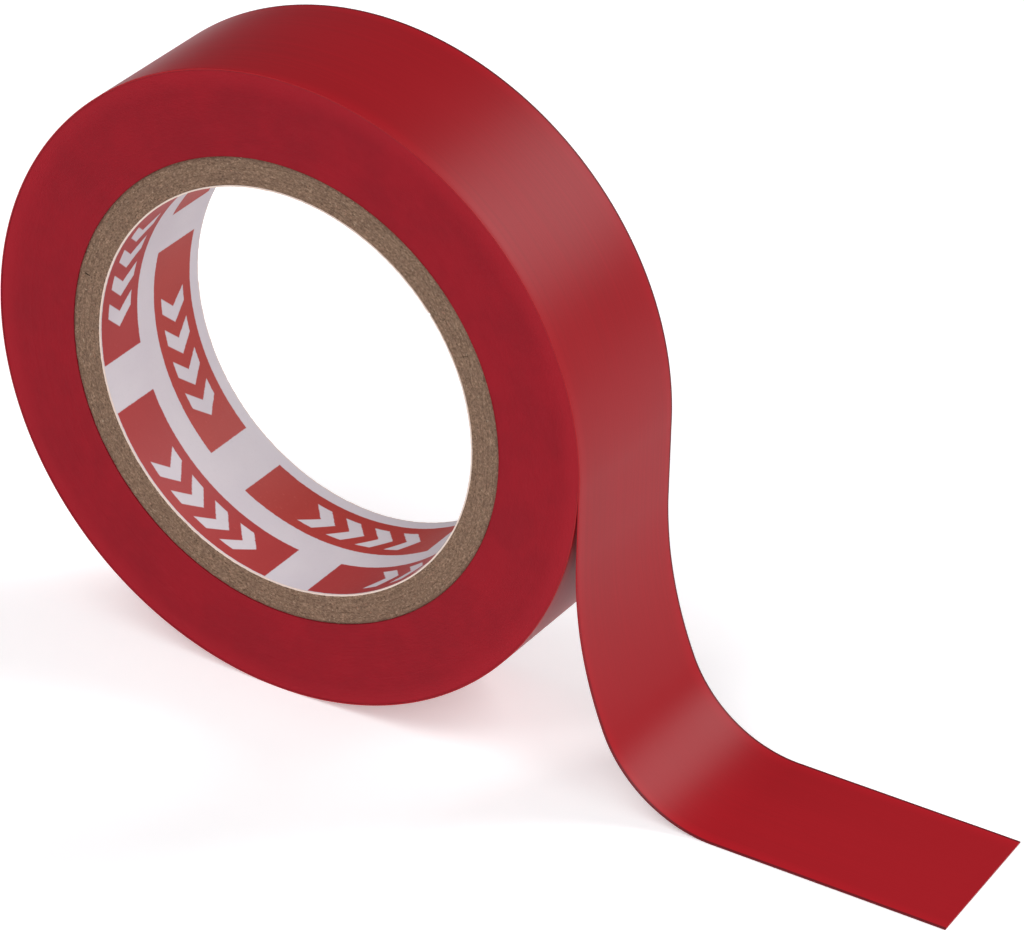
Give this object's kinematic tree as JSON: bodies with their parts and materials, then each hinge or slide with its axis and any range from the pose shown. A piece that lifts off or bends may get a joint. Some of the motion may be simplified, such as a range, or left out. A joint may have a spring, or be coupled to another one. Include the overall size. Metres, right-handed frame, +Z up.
{
  "type": "electrical tape roll",
  "caption": "Roll of self-adhesive vinyl insulating tape on a printed paper tube, standing on its rim with a free tail that peels off the last turn and flexes.",
  "frame": {"origin": "middle of the bore, on the axis of the roll and halfway across the tape", "axes": "+Y along the axis of the bore, away from the front side face; +X towards the cut end of the tail; +Z up, with the rim and the flat tail on the surface below"},
  "size_m": [0.096, 0.015, 0.0593],
  "materials": {
    "liner_paper": "satin",
    "chipboard": "matte",
    "turn_edges": "satin",
    "vinyl_film": "satin",
    "adhesive": "matte"
  },
  "bodies": {
    "roll": {"core_liner": "liner_paper", "core_ply_1": "chipboard", "core_ply_2": "chipboard", "core_ply_3": "chipboard", "core_ply_4": "chipboard", "core_ply_5": "chipboard", "wound_turns": "turn_edges", "last_turn_adhesive": "adhesive", "last_turn_film": "vinyl_film"},
    "peel_link_1": {"peel_link_1_adhesive": "adhesive", "peel_link_1_film": "vinyl_film"},
    "peel_link_2": {"peel_link_2_adhesive": "adhesive", "peel_link_2_film": "vinyl_film"},
    "peel_link_3": {"peel_link_3_adhesive": "adhesive", "peel_link_3_film": "vinyl_film"},
    "peel_link_4": {"peel_link_4_adhesive": "adhesive", "peel_link_4_film": "vinyl_film"},
    "tail_link_1": {"tail_link_1_adhesive": "adhesive", "tail_link_1_film": "vinyl_film"},
    "tail_link_2": {"tail_link_2_adhesive": "adhesive", "tail_link_2_film": "vinyl_film"},
    "tail_link_3": {"tail_link_3_adhesive": "adhesive", "tail_link_3_film": "vinyl_film"},
    "tail_link_4": {"tail_link_4_adhesive": "adhesive", "tail_link_4_film": "vinyl_film"},
    "tail_link_5": {"tail_link_5_adhesive": "adhesive", "tail_link_5_film": "vinyl_film"},
    "tail_link_6": {"tail_link_6_adhesive": "adhesive", "tail_link_6_film": "vinyl_film"}
  },
  "joints": [
    {"name": "peel_fold_1", "type": "hinge", "parent": "roll", "child": "peel_link_1", "pos_m": [0.01485, 0, 0.02567], "axis": [0, -1, 0], "range_deg": [0, 20]},
    {"name": "peel_fold_2", "type": "hinge", "parent": "peel_link_1", "child": "peel_link_2", "pos_m": [0.02099, 0, 0.02096], "axis": [0, -1, 0], "range_deg": [0, 20]},
    {"name": "peel_fold_3", "type": "hinge", "parent": "peel_link_2", "child": "peel_link_3", "pos_m": [0.0257, 0, 0.01482], "axis": [0, -1, 0], "range_deg": [0, 20]},
    {"name": "peel_fold_4", "type": "hinge", "parent": "peel_link_3", "child": "peel_link_4", "pos_m": [0.02866, 0, 0.00767], "axis": [0, -1, 0], "range_deg": [0, 20]},
    {"name": "tail_fold_1", "type": "hinge", "parent": "peel_link_4", "child": "tail_link_1", "pos_m": [0.02967, 0, 0], "axis": [0, -1, 0], "range_deg": [0, 25]},
    {"name": "tail_fold_2", "type": "hinge", "parent": "tail_link_1", "child": "tail_link_2", "pos_m": [0.02967, 0, -0.00699], "axis": [0, -1, 0], "range_deg": [-10, 20]},
    {"name": "tail_fold_3", "type": "hinge", "parent": "tail_link_2", "child": "tail_link_3", "pos_m": [0.03296, 0, -0.02245], "axis": [0, -1, 0], "range_deg": [-20, 20]},
    {"name": "tail_fold_4", "type": "hinge", "parent": "tail_link_3", "child": "tail_link_4", "pos_m": [0.03739, 0, -0.02763], "axis": [0, -1, 0], "range_deg": [-20, 20]},
    {"name": "tail_fold_5", "type": "hinge", "parent": "tail_link_4", "child": "tail_link_5", "pos_m": [0.04392, 0, -0.02957], "axis": [0, -1, 0], "range_deg": [-30, 30]},
    {"name": "tail_fold_6", "type": "hinge", "parent": "tail_link_5", "child": "tail_link_6", "pos_m": [0.05487, 0, -0.02957], "axis": [0, -1, 0], "range_deg": [-30, 30]}
  ]
}
